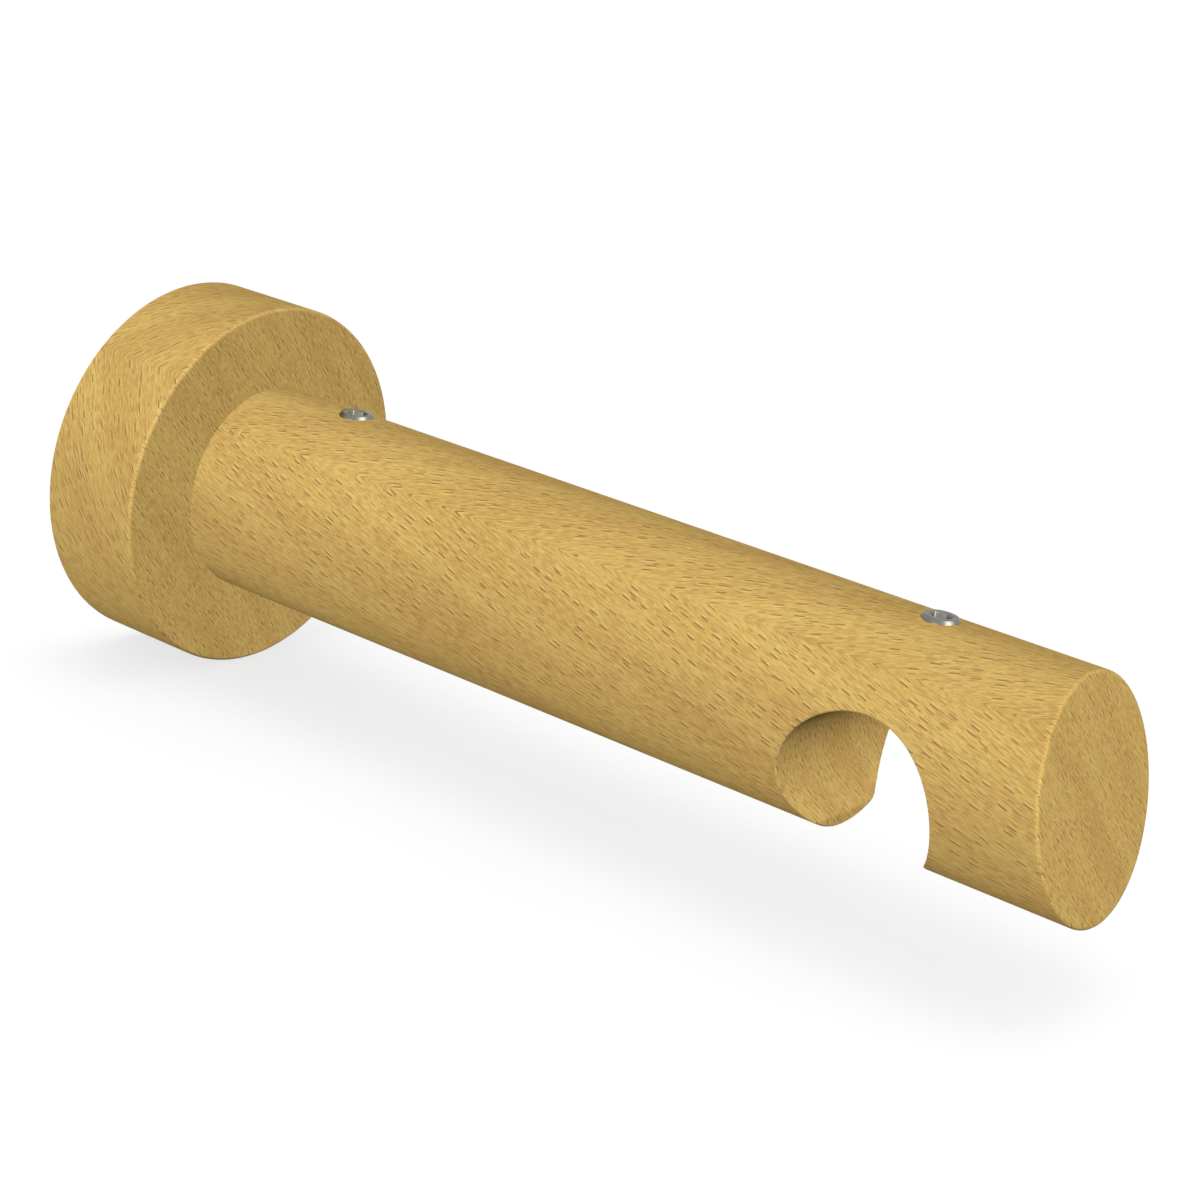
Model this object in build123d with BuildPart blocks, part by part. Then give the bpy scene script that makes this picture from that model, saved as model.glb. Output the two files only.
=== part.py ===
from build123d import *
import os
from math import radians, tan

# Curtain pole bracket in turned beech, in millimetres.
# The wall is the plane y = 0, the arm runs out along -Y, the pole lies along X and +Z is up.
# The origin is the centre of the rose's back face, on the wall.

# Pole and the seat that holds it
pole_diameter = 25.0
seat_clearance = 0.4        # room all round the pole in its seat
seat_drop = 6.7             # arm axis down to the seat's axis
seat_edge_chamfer = 0.2
mouth_width = 18.5          # straight-sided way out of the seat, through the arm's underside
mouth_corner_radius = 1.4   # where the mouth's sides leave the seat

# Arm
arm_diameter = 36.0
pole_reach = 153.2          # wall to the pole's axis
nose_length = 29.25         # pole's axis to the end face, along the arm's axis
end_slope = 13.8            # degrees that the end face leans back from upright
arm_edge_radius = 0.5

# Rose
rose_diameter = 64.0
rose_thickness = 20.0
rose_front_edge_radius = 0.6
rose_back_edge_chamfer = 0.5

# Wall plate, let into the back of the rose
plate_diameter = 46.0
plate_thickness = 3.0
plate_edge_chamfer = 0.4
plate_clearance = 1.0       # room round the plate in its recess
screw_head_room = 3.0       # recess in front of the plate
wall_screw_spacing = 32.0
wall_screw_hole_diameter = 5.0
wall_screw_head_diameter = 9.0
countersink_angle = 90.0

# Peg, riveted into the plate
peg_diameter = 12.0
peg_clearance = 0.15        # room round the peg in the rose and the arm
peg_past_screw = 12.0       # arm screw's axis to the peg's tip
peg_tip_chamfer = 1.0
peg_tail_diameter = 8.0
peg_tail_clearance = 0.05   # room round the tail in the plate
bore_overrun = 3.0          # arm's bore past the peg's tip
drill_point_angle = 118.0

# Set screws, the thread taken as a smooth cylinder
screw_diameter = 6.0
screw_clearance = 0.1       # room round a screw in its hole
screw_length = 10.0
screw_stand = 0.4           # screw top above the arm's top line
screw_rim_chamfer = 0.4
screw_point_chamfer = 1.0
socket_across_flats = 3.0
socket_depth = 3.5
arm_screw_setback = 18.7    # rose's front face to the arm screw's axis

# Sizes that follow
arm_radius = arm_diameter / 2
seat_radius = pole_diameter / 2 + seat_clearance
arm_reach = pole_reach + nose_length
arm_screw_reach = rose_thickness + arm_screw_setback
peg_radius = peg_diameter / 2
peg_reach = arm_screw_reach + peg_past_screw
peg_bore_radius = peg_radius + peg_clearance
bore_reach = peg_reach + bore_overrun
drill_point_length = peg_bore_radius / tan(radians(drill_point_angle / 2))
recess_radius = plate_diameter / 2 + plate_clearance
recess_depth = plate_thickness + screw_head_room
screw_hole_radius = screw_diameter / 2 + screw_clearance

arm_root_plane = Plane.XZ.offset(rose_thickness)
arm_end_plane = Plane.XZ.offset(arm_reach).rotated((-end_slope, 0, 0))
arm_top_plane = Plane.XY.offset(arm_radius)

os.makedirs("parts", exist_ok=True)

# Rose: a disc turned with a bore for the peg and a recess for the plate
with BuildPart() as wall_rose:
    with BuildSketch(Plane.YZ):
        with BuildLine():
            Polyline(
                (-rose_thickness, peg_bore_radius),
                (-rose_thickness, rose_diameter / 2),
                (0, rose_diameter / 2),
                (0, recess_radius),
                (-recess_depth, recess_radius),
                (-recess_depth, peg_bore_radius),
                close=True,
            )
        make_face()
    revolve(axis=Axis.Y)
    rim_edges = wall_rose.edges().filter_by(GeomType.CIRCLE).group_by(SortBy.RADIUS)[-1].sort_by(Axis.Y)
    fillet(rim_edges[0], rose_front_edge_radius)
    back_rim = wall_rose.faces().sort_by(Axis.Y)[-1].edges().sort_by(SortBy.RADIUS)[-1]
    chamfer(back_rim, rose_back_edge_chamfer)
wall_rose.part.label = "wall_rose"
export_step(wall_rose.part, "parts/wall_rose.step")

# Arm: a dowel cut off at a slope and bored for the peg, with the pole seat and its mouth across it
with BuildPart() as arm:
    with BuildSketch(arm_root_plane):
        Circle(arm_radius)
    extrude(amount=arm_reach - rose_thickness + arm_diameter * tan(radians(end_slope)))
    split(bisect_by=arm_end_plane, keep=Keep.BOTTOM)
    end_face = arm.faces().sort_by(Axis.Y)[0]
    fillet(end_face.edges(), arm_edge_radius)
    with BuildSketch(Plane.YZ) as seat_outline:
        with Locations((-pole_reach, -seat_drop)):
            Circle(seat_radius)
            Rectangle(mouth_width, arm_diameter, align=(Align.CENTER, Align.MAX))
        mouth_corners = seat_outline.vertices().group_by(Axis.Y)[1]
        fillet(mouth_corners, mouth_corner_radius)
    extrude(amount=arm_diameter, both=True, mode=Mode.SUBTRACT)
    seat_rims = arm.edges(Select.LAST).filter_by(GeomType.LINE, reverse=True)
    chamfer(seat_rims, seat_edge_chamfer)
    with BuildSketch(Plane.YZ):
        with BuildLine():
            Polyline(
                (-rose_thickness, 0),
                (-rose_thickness, peg_bore_radius),
                (-bore_reach, peg_bore_radius),
                (-bore_reach - drill_point_length, 0),
                close=True,
            )
        make_face()
    revolve(axis=Axis.Y, mode=Mode.SUBTRACT)
    with BuildSketch(arm_top_plane):
        with Locations((0, -arm_screw_reach), (0, -pole_reach)):
            Circle(screw_hole_radius)
    extrude(amount=-arm_radius, mode=Mode.SUBTRACT)
arm.part.label = "arm"
export_step(arm.part, "parts/arm.step")

# Wall plate: a steel disc with two countersunk holes for the wall screws
with BuildPart() as wall_plate:
    with BuildSketch(Plane.XZ):
        Circle(plate_diameter / 2)
        Circle(peg_tail_diameter / 2 + peg_tail_clearance, mode=Mode.SUBTRACT)
    extrude(amount=plate_thickness)
    front_rim = wall_plate.faces().sort_by(Axis.Y)[0].edges().sort_by(SortBy.RADIUS)[-1]
    chamfer(front_rim, plate_edge_chamfer)
    with Locations(Plane.XZ.offset(plate_thickness)):
        with GridLocations(wall_screw_spacing, wall_screw_spacing, 1, 2):
            CounterSinkHole(
                wall_screw_hole_diameter / 2,
                wall_screw_head_diameter / 2,
                counter_sink_angle=countersink_angle,
            )
wall_plate.part.label = "wall_plate"
export_step(wall_plate.part, "parts/wall_plate.step")

# Peg: its tail fills the plate's middle hole and its shoulder sits on the plate
with BuildPart() as wall_peg:
    with BuildSketch(Plane.YZ):
        with BuildLine():
            Polyline(
                (0, 0),
                (0, peg_tail_diameter / 2),
                (-plate_thickness, peg_tail_diameter / 2),
                (-plate_thickness, peg_radius),
                (-peg_reach + peg_tip_chamfer, peg_radius),
                (-peg_reach, peg_radius - peg_tip_chamfer),
                (-peg_reach, 0),
                close=True,
            )
        make_face()
    revolve(axis=Axis.Y)
wall_peg.part.label = "wall_peg"
export_step(wall_peg.part, "parts/wall_peg.step")

# Set screws: each stands just proud of the arm and stops short of what it will grip
screw_reaches = {"arm_set_screw": arm_screw_reach, "pole_set_screw": pole_reach}
for node, reach in screw_reaches.items():
    screw_plane = Plane((0, -reach, arm_radius + screw_stand))
    with BuildPart() as set_screw:
        with BuildSketch(screw_plane):
            Circle(screw_diameter / 2)
        extrude(amount=-screw_length)
        chamfer(set_screw.faces().sort_by(Axis.Z)[-1].edges(), screw_rim_chamfer)
        chamfer(set_screw.faces().sort_by(Axis.Z)[0].edges(), screw_point_chamfer)
        with BuildSketch(screw_plane):
            RegularPolygon(socket_across_flats / 2, 6, major_radius=False)
        extrude(amount=-socket_depth, mode=Mode.SUBTRACT)
    set_screw.part.label = node
    export_step(set_screw.part, f"parts/{node}.step")
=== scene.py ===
# %% [markdown]
# # A beech curtain pole bracket
# The bracket is a turned rose that sits on the wall, a round arm that stands out from it, and a
# round seat through the underside of the arm for the curtain pole. Two socket set screws let into
# the arm's top hold the arm on its wall peg and the pole in its seat.
# The solids come ready made, in metres, with the wall at y = 0, the arm along -Y and +Z up. What is
# left to do here is their finish, the screws' threads, a camera, a floor and a light.

import bmesh
import bpy
from math import atan2, cos, degrees, pi, radians, sin
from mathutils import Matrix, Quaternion, Vector


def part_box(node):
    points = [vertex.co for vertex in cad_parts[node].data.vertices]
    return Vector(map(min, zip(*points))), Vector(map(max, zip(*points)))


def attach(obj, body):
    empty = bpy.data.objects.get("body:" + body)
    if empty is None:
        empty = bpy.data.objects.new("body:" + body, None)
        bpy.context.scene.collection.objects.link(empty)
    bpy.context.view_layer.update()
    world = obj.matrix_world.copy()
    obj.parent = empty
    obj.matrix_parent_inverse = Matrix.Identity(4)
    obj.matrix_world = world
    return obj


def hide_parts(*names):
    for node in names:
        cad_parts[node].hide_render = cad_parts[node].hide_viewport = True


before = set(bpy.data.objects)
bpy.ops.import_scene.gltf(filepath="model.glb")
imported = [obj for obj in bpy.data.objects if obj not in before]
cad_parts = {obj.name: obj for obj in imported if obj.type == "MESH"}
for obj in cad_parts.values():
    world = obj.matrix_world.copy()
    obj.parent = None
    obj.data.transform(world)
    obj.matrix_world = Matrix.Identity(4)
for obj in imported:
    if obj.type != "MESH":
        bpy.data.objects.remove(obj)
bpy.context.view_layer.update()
mm = 0.001
print("pieces:", ", ".join(sorted(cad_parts)))

# %% [markdown]
# ## The camera
# The picture to match looks down on the arm from its left, with the camera turned a little about
# its own axis, so that the arm runs downhill across the frame. A camera is easiest to place by
# where it stands and by three angles: the azimuth round the bracket, the elevation above the
# horizon and the roll. Its lens is long, which keeps the near end of the arm from swelling.

# %% Set up the camera
camera_place = Vector((-316.2, -308.7, 120.6)) * mm
camera_azimuth = radians(-55.80)
camera_elevation = radians(17.22)
camera_roll = radians(9.13)
camera_lens = 75.41
nearest_seen = 10 * mm

towards_camera = Vector((
    sin(camera_azimuth) * cos(camera_elevation),
    -cos(camera_azimuth) * cos(camera_elevation),
    sin(camera_elevation),
))
level_turn = towards_camera.to_track_quat("Z", "Y")
camera = bpy.data.objects.new("camera", bpy.data.cameras.new("camera"))
camera.location = camera_place
camera.rotation_mode = "QUATERNION"
camera.rotation_quaternion = level_turn @ Quaternion((0, 0, 1), camera_roll)
camera.data.lens = camera_lens
camera.data.clip_start = nearest_seen
bpy.context.scene.collection.objects.link(camera)
bpy.context.scene.camera = camera
bpy.context.scene.view_settings.view_transform = "Standard"
print("camera stands", round(camera_place.length / mm), "mm from the middle of the rose's back")

# %% [markdown]
# ## Sums on a surface
# A finish is a sum worked out afresh at each point of a surface. Wiring one Math node for each
# plus sign by hand hides what is meant, so a small class stands for one output of a node and turns
# Python's own signs into Math nodes.

# %% A number that changes over a surface
class Amount:
    """One output socket of a node in a finish."""

    def __init__(self, finish, socket):
        self.finish = finish
        self.socket = socket

    def other(self, name):
        """Another output of the same node."""
        return Amount(self.finish, self.socket.node.outputs[name])

    def sum(self, operation, *terms):
        """A Math node over these terms."""
        return self.finish.node("ShaderNodeMath", {"operation": operation}, dict(enumerate(terms)))

    def __add__(self, term):
        return self.sum("ADD", self, term)

    def __radd__(self, term):
        return self.sum("ADD", term, self)

    def __sub__(self, term):
        return self.sum("SUBTRACT", self, term)

    def __rsub__(self, term):
        return self.sum("SUBTRACT", term, self)

    def __mul__(self, term):
        return self.sum("MULTIPLY", self, term)

    def __rmul__(self, term):
        return self.sum("MULTIPLY", term, self)

    def __truediv__(self, term):
        return self.sum("DIVIDE", self, term)

    def __rtruediv__(self, term):
        return self.sum("DIVIDE", term, self)

    def __gt__(self, term):
        return self.sum("GREATER_THAN", self, term)

    def __lt__(self, term):
        return self.sum("LESS_THAN", self, term)

    def __abs__(self):
        return self.sum("ABSOLUTE", self)


print("signs that make Math nodes: + - * / > < and abs")

# %% [markdown]
# Every other node comes from one method of the finish, which takes the node's type, its settings,
# and what goes into its sockets. A few more methods name the steps that the finishes share: a
# colour or a number between two others, the larger of two, a soft step, a vector put together or
# taken apart, and cloudy noise. A Mix node keeps its sockets for numbers, vectors and colours in one
# row under the same names, so those for colours are picked by their places.

# %% A finish made of nodes
mix_share, mix_first, mix_second, mix_result = 0, 6, 7, 2
noise_middle = 0.5
noise_detail = 2.0

class Finish:
    """The nodes of one material, or of the world."""

    def __init__(self, owner):
        owner.use_nodes = True
        self.owner = owner
        self.tree = owner.node_tree
        self.tree.nodes.clear()

    def node(self, kind, settings, sockets, output=0):
        """Adds a node, sets it up, fills or links its sockets, and returns one of its outputs."""
        made = self.tree.nodes.new(kind)
        for name, value in settings.items():
            setattr(made, name, value)
        for name, value in sockets.items():
            if isinstance(value, Amount):
                self.tree.links.new(value.socket, made.inputs[name])
            else:
                made.inputs[name].default_value = value
        return Amount(self, made.outputs[output]) if made.outputs else None

    def mix(self, share, first, second):
        """A colour between two others."""
        sockets = {mix_share: share, mix_first: first, mix_second: second}
        return self.node("ShaderNodeMix", {"data_type": "RGBA"}, sockets, mix_result)

    def between(self, share, first, second):
        """A number between two others."""
        return first + (second - first) * share

    def larger(self, first, second):
        """The larger of two numbers."""
        return self.node("ShaderNodeMath", {"operation": "MAXIMUM"}, {0: first, 1: second})

    def step(self, value, low, high):
        """A soft step from 0 at low to 1 at high."""
        sockets = {"Value": value, "From Min": low, "From Max": high}
        return self.node("ShaderNodeMapRange", {"interpolation_type": "SMOOTHSTEP"}, sockets)

    def vector(self, x, y, z=0.0):
        """A vector from its X, Y and Z."""
        return self.node("ShaderNodeCombineXYZ", {}, {"X": x, "Y": y, "Z": z})

    def parts(self, vector):
        """The X, Y and Z of a vector."""
        split = self.node("ShaderNodeSeparateXYZ", {}, {"Vector": vector})
        return split, split.other("Y"), split.other("Z")

    def noise(self, place, detail=noise_detail):
        """A cloudy number about noise_middle, in clumps about one unit across."""
        sockets = {"Vector": place, "Scale": 1.0, "Detail": detail}
        return self.node("ShaderNodeTexNoise", {}, sockets)


print("steps that finishes share:", ", ".join(name for name in vars(Finish) if name[0] != "_"))

# %% [markdown]
# Colours are easiest to judge on a screen, as levels of red, green and blue from 0 to 255. A node
# wants the light that the screen gives for them. One curve leads from levels to light on all usual
# screens: a straight line for the darkest levels and a power for the rest.

# %% Colours as a screen shows them
top_level = 255
dark_end, dark_slope = 0.04045, 12.92
curve_lift, curve_power = 0.055, 2.4

def screen_colour(red, green, blue):
    """The light that a screen gives for three levels."""
    def light(level):
        share = level / top_level
        if share <= dark_end:
            return share / dark_slope
        return ((share + curve_lift) / (1 + curve_lift)) ** curve_power
    return (light(red), light(green), light(blue), 1.0)


print("a screen's mid grey gives", round(screen_colour(128, 128, 128)[0], 3), "of full light")

# %% [markdown]
# ## Light and floor
# The bracket is shown as in a catalogue, under soft light and on a white ground. One wide lamp
# stands at its left, hardly higher than the arm, and a second in front of its free end, halfway up.
# Where both reach, they add up to about one, so a colour comes out as it is written. A lamp behind
# keeps the far side from going black. It is left out of reflections, or the wall plate would mirror
# it as a white disc. In a white studio the light is thrown about so much that it finds its way into
# the pole seat and behind the arm, so these three cast no shadow. Only a faint lamp overhead does.

# %% Light the bracket
lamp_width = radians(30)
lamps = {
    "side": {"direction": (-1.0, 0.0, 0.07), "level": 0.69, "shadow": False, "mirrored": True},
    "front": {"direction": (0.0, -0.73, 0.68), "level": 0.73, "shadow": False, "mirrored": True},
    "top": {"direction": (0.0, 0.0, 1.0), "level": 0.05, "shadow": True, "mirrored": True},
    "back": {"direction": (0.70, 0.70, -0.15), "level": 0.70, "shadow": False, "mirrored": False},
}

def add_lamp(name, direction, level, shadow, mirrored):
    """A sun lamp that gives this share of full light to a surface facing it."""
    made = bpy.data.objects.new(name, bpy.data.lights.new(name, "SUN"))
    made.data.energy = level * pi
    made.data.angle = lamp_width
    made.data.use_shadow = shadow
    made.rotation_mode = "QUATERNION"
    made.rotation_quaternion = Vector(direction).to_track_quat("Z", "Y")
    made.visible_glossy = mirrored
    bpy.context.scene.collection.objects.link(made)


for name, lamp in lamps.items():
    add_lamp(name, **lamp)
    print(name, "lamp gives", lamp["level"], "of full light")

# %% [markdown]
# The sky has two strengths. It lights the bracket only a little, and still shows white to the
# camera, straight or in a reflection, which is what the ray's own kind is asked for.

# %% Fill in with the sky
sky_level = 0.02
white = (1.0, 1.0, 1.0, 1.0)

def seen(finish):
    """1 where the camera looks, straight or by a reflection, and 0 where a surface gathers light."""
    straight = finish.node("ShaderNodeLightPath", {}, {}, "Is Camera Ray")
    mirrored, passed = straight.other("Is Glossy Ray"), straight.other("Is Transmission Ray")
    return finish.larger(straight, finish.larger(mirrored, passed))


sky = Finish(bpy.data.worlds.new("studio"))
bpy.context.scene.world = sky.owner
fill = sky.node("ShaderNodeBackground", {}, {"Color": white, "Strength": sky_level})
ground = sky.node("ShaderNodeBackground", {}, {"Color": white, "Strength": 1.0})
sky_shader = sky.node("ShaderNodeMixShader", {}, {0: seen(sky), 1: fill, 2: ground})
sky.node("ShaderNodeOutputWorld", {}, {"Surface": sky_shader})
print("sky", sky_level, "of full light")

# %% [markdown]
# The floor lies just under the lowest point of the rose and needs no more than four corners.

# %% Lay the floor
floor_half = 4.0
floor_gap = 0.2 * mm

floor_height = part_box("wall_rose")[0].z - floor_gap
floor_mesh = bpy.data.meshes.new("floor")
floor_corners = [
    (x * floor_half, y * floor_half, floor_height)
    for x, y in ((-1, -1), (1, -1), (1, 1), (-1, 1))
]
floor_mesh.from_pydata(floor_corners, [], [(0, 1, 2, 3)])
floor = bpy.data.objects.new("floor", floor_mesh)
bpy.context.scene.collection.objects.link(floor)
print("floor at", round(floor_height / mm, 1), "mm")

# %% [markdown]
# To the camera the floor is white paint that glows as well as taking light, so that it comes out
# white and still keeps the bracket's shadow. The glow stands for the light of the whole room. Where
# the bracket hides part of the room from the floor, the glow is weaker, which gives the soft shadow
# close to it. The wood gathers much less from the floor, or the arm's underside would come out as
# bright as its side. From below the floor is clear, so that the pole seat can be looked into.

# %% Paint the floor
floor_paint = 0.95
floor_return = 0.08
floor_glow = 0.43
hidden_reach = 50 * mm
hidden_share = 0.5
room_rays = 4

def matt(finish, level):
    """Matt grey paint that returns this share of the light."""
    return finish.node("ShaderNodeBsdfDiffuse", {}, {"Color": (level, level, level, 1.0)})


paint = Finish(bpy.data.materials.new("floor"))
room = paint.node(
    "ShaderNodeAmbientOcclusion", {"samples": room_rays}, {"Color": white, "Distance": hidden_reach})
room_light = paint.mix(hidden_share, white, room)
glow = paint.node("ShaderNodeEmission", {}, {"Color": room_light, "Strength": floor_glow})
glowing = paint.node("ShaderNodeAddShader", {}, {0: matt(paint, floor_paint), 1: glow})
upper_side = paint.node(
    "ShaderNodeMixShader", {}, {0: seen(paint), 1: matt(paint, floor_return), 2: glowing})
from_below = paint.node("ShaderNodeNewGeometry", {}, {}, "Backfacing")
clear = paint.node("ShaderNodeBsdfTransparent", {}, {})
floor_shader = paint.node("ShaderNodeMixShader", {}, {0: from_below, 1: upper_side, 2: clear})
paint.node("ShaderNodeOutputMaterial", {}, {"Surface": floor_shader})
floor_mesh.materials.append(paint.owner)
print("floor glows at", floor_glow, "and returns", floor_return, "of the light to the wood")

# %% [markdown]
# ## Beech
# Beech is known by its flecks: short dark dashes where the saw cuts through the wood's rays. On
# the arm they run nearly along it, and meet in arrowheads down one line where the growth rings just
# touch the surface. On the flat faces they all run one way and are finer.
# A picture wrapped round the arm could show this, but a formula stays sharp at any distance. So the
# first step gives each point two distances in millimetres: one along the flecks and one across. On
# the flat faces and in the pole seat both are lengthened, which makes all that is laid out by them
# finer.

# %% Which way the flecks run
figure_line = (-0.72, 0.69)
face_lean = 0.6
seat_share = 0.95
flat_fleck_angle = radians(-50)
flat_fineness = 1.3

def fleck_directions(wood, radius, slope):
    """Distances along and across the flecks, on a dowel of this radius and on its flat faces."""
    place = wood.node("ShaderNodeTexCoord", {}, {}, "Object")
    x, y, z = (part / mm for part in wood.parts(place))
    facing = wood.parts(place.other("Normal"))
    out = 0 - y
    before = x * figure_line[0] + z * figure_line[1]
    beside = z * figure_line[0] - x * figure_line[1]
    turn = wood.node("ShaderNodeMath", {"operation": "ARCTAN2"}, {0: beside, 1: before})
    girth = abs(turn) * radius
    round_along = out * cos(slope) + girth * sin(slope)
    round_across = girth * cos(slope) - out * sin(slope)
    flat_along = (x * cos(flat_fleck_angle) + z * sin(flat_fleck_angle)) * flat_fineness
    flat_across = (z * cos(flat_fleck_angle) - x * sin(flat_fleck_angle)) * flat_fineness
    within = x * x + z * z < (radius * seat_share) ** 2
    flat = wood.larger(abs(facing[1]) > face_lean, within)
    return wood.between(flat, round_along, flat_along), wood.between(flat, round_across, flat_across)


figure_angle = degrees(atan2(figure_line[1], -figure_line[0]))
print("the arrowheads lie", round(figure_angle), "degrees up from the arm's left side")

# %% [markdown]
# A Voronoi texture scatters one point in each cell of a grid, and tells every place where its
# nearest point is. The distance to that point along the flecks and the distance across them are held
# to half a dash's length and half its width, so each point becomes a dash with room round it. Each
# cell also has a random number, which makes some dashes strong and leaves others out. Moving the grid
# by a few cells gives another set of dashes.

# %% Short dashes
blunt_end = 0.6
blunt_side = 0.35
luck_range = 0.5

def dashes(wood, along, across, cell_size, dash_size, share, moved=0.0):
    """Dashes of this length and width in mm, in about this share of the cells."""
    cells_along = along / cell_size[0] + moved
    cells_across = across / cell_size[1] + moved
    place = wood.vector(cells_along, cells_across)
    grid = {"voronoi_dimensions": "2D"}
    cell = wood.node("ShaderNodeTexVoronoi", grid, {"Vector": place, "Scale": 1.0})
    middle = wood.parts(cell.other("Position"))
    luck = wood.parts(cell.other("Color"))[0]
    ahead = abs(cells_along - middle[0]) * (2 * cell_size[0] / dash_size[0])
    beside = abs(cells_across - middle[1]) * (2 * cell_size[1] / dash_size[1])
    shape = (1 - wood.step(ahead, blunt_end, 1)) * (1 - wood.step(beside, blunt_side, 1))
    return shape * wood.step(luck, 1 - share, 1 - share + luck_range)


print("a dash is full strength over", blunt_end, "of its length and", blunt_side, "of its width")

# %% [markdown]
# Between its flecks beech isn't even. It drifts slowly from honey to amber, has rust-coloured
# patches, and shows pale fibres with darker gaps between them. Each of these is cloudy noise, drawn
# out along the flecks by dividing the two distances by a clump's length and width.

# %% Colour between the flecks
honey = screen_colour(229, 192, 109)
amber = screen_colour(217, 175, 97)
rust = screen_colour(220, 172, 104)
straw = screen_colour(250, 221, 136)
fleck_brown = screen_colour(130, 84, 62)
drift_size, drift_range = (60, 8), (0.35, 0.65)
tint_size, tint_range, tint_strength = (14, 1.8), (0.4, 0.7), 0.4
fibre_size, fibre_range, fibre_strength = (1.6, 0.22), (0.4, 0.7), 0.36
gap_range, gap_strength = (0.3, 0.6), 0.18

def clumps(wood, along, across, size, detail=noise_detail):
    """Noise in clumps of this length and width in mm."""
    return wood.noise(wood.vector(along / size[0], across / size[1]), detail)


def ground_colour(wood, along, across):
    """The wood's colour between its flecks."""
    drift = clumps(wood, along, across, drift_size)
    tint = clumps(wood, along, across, tint_size)
    fibre = clumps(wood, along, across, fibre_size)
    colour = wood.mix(wood.step(drift, *drift_range), honey, amber)
    colour = wood.mix(wood.step(tint, *tint_range) * tint_strength, colour, rust)
    colour = wood.mix(wood.step(fibre, *fibre_range) * fibre_strength, colour, straw)
    return wood.mix((1 - wood.step(fibre, *gap_range)) * gap_strength, colour, fleck_brown)


print("a fibre is about", fibre_size[0], "mm long and", fibre_size[1], "mm wide")

# %% [markdown]
# Over this ground lie the dark dashes, large and small, and each large one has a pale line beside
# it: a painted highlight that stands for the lit edge of its pore. Fine streaks, dark and pale, run
# between them. Where several meet, the strongest counts.

# %% Flecks and streaks
large_cell, large_dash = (3.2, 1.3), (2.1, 0.38)
large_share, large_strength = 0.65, 0.62
small_cell, small_dash = (2.4, 0.8), (1.6, 0.28)
small_share, small_strength = 0.7, 0.42
another_set = 37.5
# The painted highlight beside each large dash: how far across it sits, and how strong it is.
lit_edge_offset, lit_edge_strength = 0.3, 0.5
streak_size, streak_range, streak_strength = (4, 0.3), (0.5, 0.7), 0.2
streak_detail = 1.0

def flecks(wood, along, across):
    """How far each place is lightened, by pale streaks and by a painted highlight, and how far it is
    darkened.
    """
    large = dashes(wood, along, across, large_cell, large_dash, large_share)
    small = dashes(wood, along, across, small_cell, small_dash, small_share, another_set)
    # A copy of the large dashes, moved across: the painted highlight for the lit edge of each pore.
    lit_edge = dashes(wood, along, across + lit_edge_offset, large_cell, large_dash, large_share)
    streak = clumps(wood, along, across, streak_size, streak_detail)
    pale_streak = wood.step(streak, *streak_range) * streak_strength
    dark_streak = wood.step(1 - streak, *streak_range) * streak_strength
    streak_and_lit_edge = wood.larger(lit_edge * lit_edge_strength, pale_streak)
    darkened = wood.larger(small * small_strength, dark_streak)
    return streak_and_lit_edge, wood.larger(large * large_strength, darkened)


print("a large dash is", large_dash[0], "mm long and a small one", small_dash[0], "mm")

# %% [markdown]
# In the whole finish the flecks wander a little from their straight lines. The dark ones are also
# shallow pores, so they dent the surface and are rougher. The clear lacquer is satin and so thin that
# it gives no sheen. Light thrown from wood to wood would turn the pole seat orange, so the wood
# passes on hardly any.

# %% Beech finish
wander, wander_size = 0.4, (12, 4)
bounce_loss = 0.95
black = (0.0, 0.0, 0.0, 1.0)
pore_depth = 0.02 * mm
pore_strength = 0.4
pore_roughness = 0.2
satin = 0.6
lacquer_gloss = 0.0

def beech(name, radius, slope):
    """Beech for a dowel of this radius in mm, with flecks at this angle to its axis."""
    wood = Finish(bpy.data.materials.new(name))
    along, across = fleck_directions(wood, radius, slope)
    across = across + (clumps(wood, along, across, wander_size) - noise_middle) * wander
    streak_and_lit_edge, darkened = flecks(wood, along, across)
    # Straw goes on where the streaks are pale and as the painted highlight beside each large dash.
    colour = wood.mix(streak_and_lit_edge, ground_colour(wood, along, across), straw)
    colour = wood.mix(darkened, colour, fleck_brown)
    bounced = wood.node("ShaderNodeLightPath", {}, {}, "Is Diffuse Ray")
    colour = wood.mix(bounced * bounce_loss, colour, black)
    dent = wood.node("ShaderNodeBump", {"invert": True}, {
        "Strength": pore_strength, "Distance": pore_depth, "Height": darkened})
    shader = wood.node("ShaderNodeBsdfPrincipled", {}, {
        "Base Color": colour, "Roughness": satin + darkened * pore_roughness, "Normal": dent,
        "Specular IOR Level": lacquer_gloss})
    wood.node("ShaderNodeOutputMaterial", {}, {"Surface": shader})
    return wood.owner


print("pores are", round(pore_depth / mm, 3), "mm deep")

# %% [markdown]
# The arm and the rose are turned from different pieces of wood. On the arm the flecks lean only a
# little from its axis. On the rose's rim they lean much more, because its grain runs across.

# %% Turn the wood
fleck_slopes = {"arm": radians(17), "wall_rose": radians(55)}

def radius_of(node):
    """Radius in mm of a node that is round about Y."""
    low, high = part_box(node)
    return (high.x - low.x) / 2 / mm


for node, slope in fleck_slopes.items():
    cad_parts[node].material_slots[0].material = beech("beech_" + node, radius_of(node), slope)
    print(node, "is beech, turned to a radius of", round(radius_of(node), 1), "mm")

# %% [markdown]
# ## Plated steel
# The wall plate and its peg are zinc plated, which leaves steel pale grey and slightly cloudy. The
# set screws are nickel plated, darker and a little warm. Both are bare metal to the eye, so colour,
# roughness and a fine unevenness are all there is to them.

# %% Plated finishes
cloud_spread = 0.2
grain_spread = 0.1
grain_detail = 4.0
grain_depth = 0.01 * mm
grain_strength = 0.2

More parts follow.
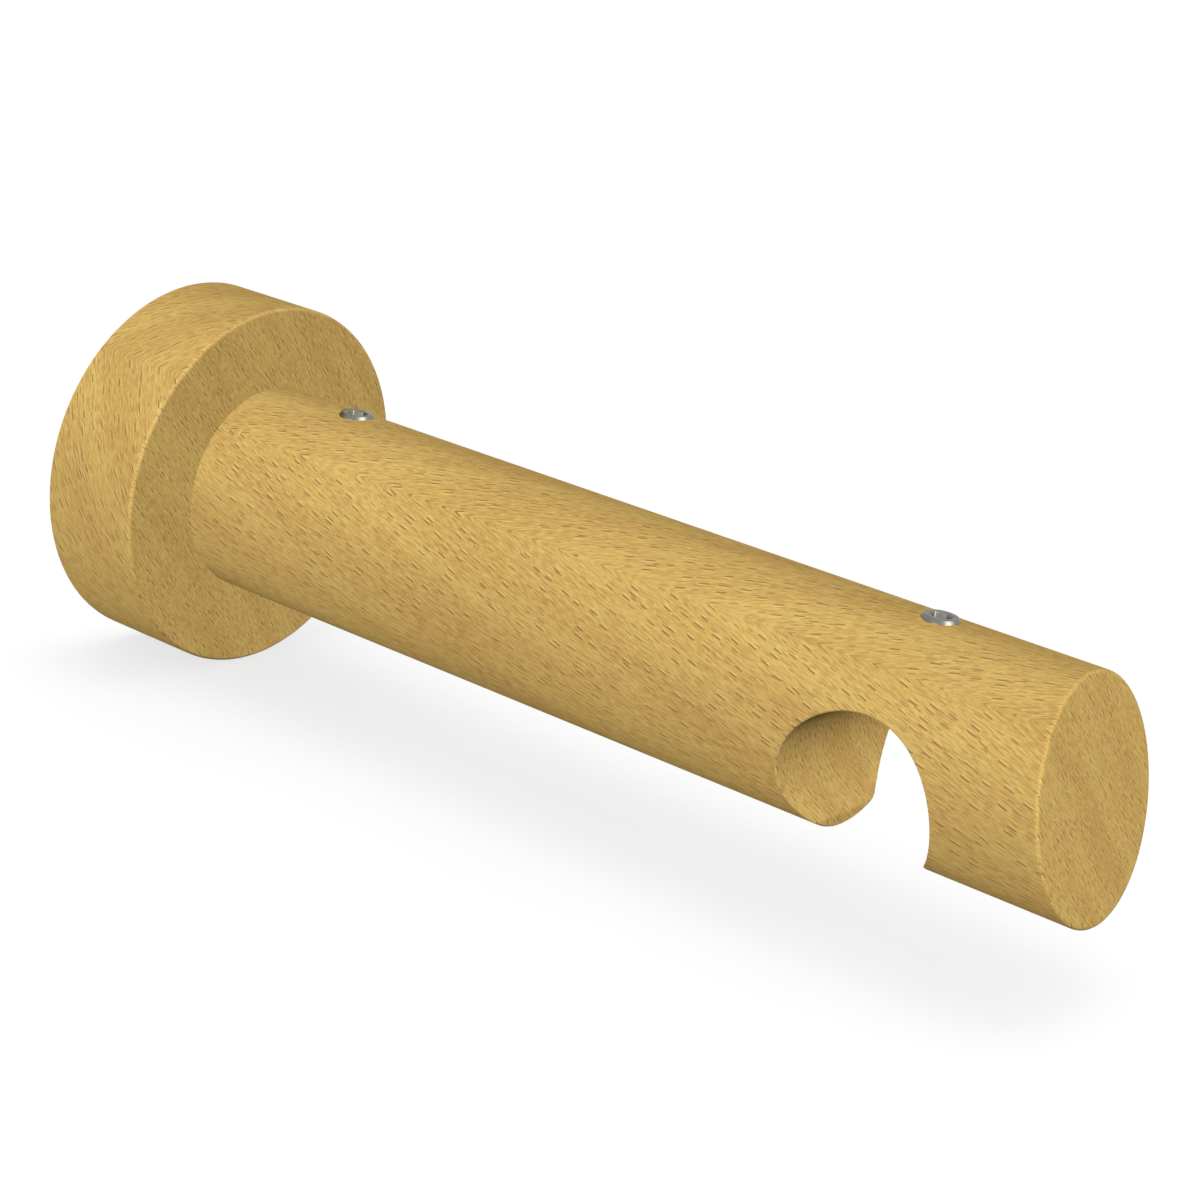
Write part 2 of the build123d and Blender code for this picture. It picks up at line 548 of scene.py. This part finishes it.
def plating(name, bright, dull, roughness, cloud_size, grain_size):
    """Plated steel with clouds and fine grain of these sizes in mm."""
    metal = Finish(bpy.data.materials.new(name))
    place = metal.node("ShaderNodeTexCoord", {}, {}, "Object")
    x, y, z = (part / mm for part in metal.parts(place))
    cloud = metal.noise(metal.vector(x / cloud_size, y / cloud_size, z / cloud_size))
    grain = metal.noise(metal.vector(x / grain_size, y / grain_size, z / grain_size), grain_detail)
    dent = metal.node("ShaderNodeBump", {}, {
        "Strength": grain_strength, "Distance": grain_depth, "Height": grain})
    shader = metal.node("ShaderNodeBsdfPrincipled", {}, {
        "Base Color": metal.mix(cloud, screen_colour(*bright), screen_colour(*dull)),
        "Roughness": roughness + (cloud - noise_middle) * cloud_spread + grain * grain_spread,
        "Metallic": 1.0, "Normal": dent})
    metal.node("ShaderNodeOutputMaterial", {}, {"Surface": shader})
    return metal.owner


zinc = plating(
    "zinc_plating", bright=(205, 208, 210), dull=(180, 184, 188),
    roughness=0.32, cloud_size=3.0, grain_size=0.3)
nickel = plating(
    "nickel_plating", bright=(132, 130, 122), dull=(104, 103, 97),
    roughness=0.34, cloud_size=1.5, grain_size=0.15)
for node in ("wall_plate", "wall_peg"):
    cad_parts[node].material_slots[0].material = zinc
print("plated:", zinc.name, "and", nickel.name)

# %% [markdown]
# ## Set screws
# Each set screw is a short threaded rod with a six-sided socket in its top. The thread could be a
# bump, but it shows when the screw is backed out, so it is real. It runs out just below a plain,
# sloping rim. Two sums give its form: how far the thread dips below its crest at any place, and how
# far the socket's wall stands from the axis.

# %% Thread and socket
thread_pitch = 1.0 * mm
thread_depth = 0.61 * mm
crest_share = 1 / 8
root_share = 1 / 4
plain_end = 0.6 * mm
socket_flats = 3.0 * mm
socket_sides = 6

def thread_dip(turn, height, drop):
    """How deep the thread is at a share of a turn, a height, and a drop from the screw's top."""
    share = (height / thread_pitch - turn) % 1.0
    from_crest = min(share, 1 - share)
    flank = (1 - crest_share - root_share) / 2
    runout = min(1, max(0, drop / plain_end - 1))
    return runout * thread_depth * min(1, max(0, (from_crest - crest_share / 2) / flank))


def socket_radius(turn):
    """Distance from the axis to the socket's wall, with a corner at turn 0."""
    side = 2 * pi / socket_sides
    return socket_flats / 2 / cos((turn * 2 * pi) % side - side / 2)


print("thread", thread_pitch / mm, "mm pitch and", round(thread_depth / mm, 2), "mm deep")

# %% [markdown]
# A screw is then a row of rings about one axis: up the outside, where the radius follows the thread
# between the point's chamfer and the rim, across the top, and down the socket. Many rings to a turn
# keep the thread's flanks straight.

# %% Rings for a screw
rim_drop = 0.65 * mm
rim_inset = 0.41 * mm
point_chamfer = 1.0 * mm
socket_depth = 3.5 * mm
socket_lead = 0.08 * mm
ring_points = 96
rings_per_turn = 16

def screw_rings(radius, low, high):
    """Rings of (radius, height) pairs for a screw between two heights."""
    turns = [k / ring_points for k in range(ring_points)]
    count = round((high - low) / thread_pitch * rings_per_turn)
    rings = []
    for k in range(count + 1):
        height = low + (high - low) * k / count
        drop = high - height
        at_point = radius - point_chamfer + height - low
        at_rim = radius - rim_inset + drop * rim_inset / rim_drop
        limit = min(radius, at_point, at_rim)
        reaches = [min(limit, radius - thread_dip(turn, height, drop)) for turn in turns]
        rings.append([(reach, height) for reach in reaches])
    lead = socket_radius(0) + socket_lead
    rings.append([(lead, high) for turn in turns])
    rings.append([(socket_radius(turn), high - lead + socket_radius(turn)) for turn in turns])
    rings.append([(socket_radius(turn), high - socket_depth) for turn in turns])
    return rings


print("a ring has", ring_points, "points, and a turn of the thread", rings_per_turn, "rings")

# %% [markdown]
# The rings are joined to one closed mesh, which ends in the screw's flat point below and in the
# drilled bottom of the socket. Edges where the surface turns sharply stay crisp, and the rest is
# shaded round.

# %% Join the rings
socket_cone = 0.6 * mm
sharp_turn = radians(25)

def screw_mesh(name, axis, rings):
    """A closed mesh over these rings about an upright axis."""
    shape = bmesh.new()
    loops = []
    for ring in rings:
        loop = []
        for k, (reach, height) in enumerate(ring):
            angle = 2 * pi * k / ring_points
            x, y = axis.x + reach * cos(angle), axis.y + reach * sin(angle)
            loop.append(shape.verts.new((x, y, height)))
        loops.append(loop)
    followers = [(k, (k + 1) % ring_points) for k in range(ring_points)]
    for lower, upper in zip(loops, loops[1:]):
        for k, following in followers:
            shape.faces.new((lower[k], lower[following], upper[following], upper[k]))
    bottom, floor_of_socket = rings[0][0][1], rings[-1][0][1]
    point = shape.verts.new((axis.x, axis.y, bottom))
    drilled = shape.verts.new((axis.x, axis.y, floor_of_socket - socket_cone))
    for k, following in followers:
        shape.faces.new((loops[0][following], loops[0][k], point))
        shape.faces.new((loops[-1][k], loops[-1][following], drilled))
    for face in shape.faces:
        face.smooth = True
    for edge in shape.edges:
        edge.smooth = edge.calc_face_angle() < sharp_turn
    mesh = bpy.data.meshes.new(name)
    shape.to_mesh(mesh)
    shape.free()
    return mesh


print("edges sharper than", round(degrees(sharp_turn)), "degrees stay crisp")

# %% [markdown]
# Each threaded screw takes the place of a plain one: it fills the same box, moves with the same body
# and carries the same finish.

# %% Put the screws in
def set_screw(node, body):
    """A threaded screw in place of this node, riding on this body."""
    low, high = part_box(node)
    rings = screw_rings((high.x - low.x) / 2, low.z, high.z)
    mesh = screw_mesh(node + "_threaded", (low + high) / 2, rings)
    mesh.materials.append(nickel)
    screw = bpy.data.objects.new(node + "_threaded", mesh)
    bpy.context.scene.collection.objects.link(screw)
    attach(screw, body)
    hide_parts(node)
    return screw


for node, body in (("arm_set_screw", "arm_screw"), ("pole_set_screw", "pole_screw")):
    screw = set_screw(node, body)
    print(screw.name, "has", len(screw.data.polygons), "faces")

# %% [markdown]
# ## Size
# The finish must not change the bracket's size.
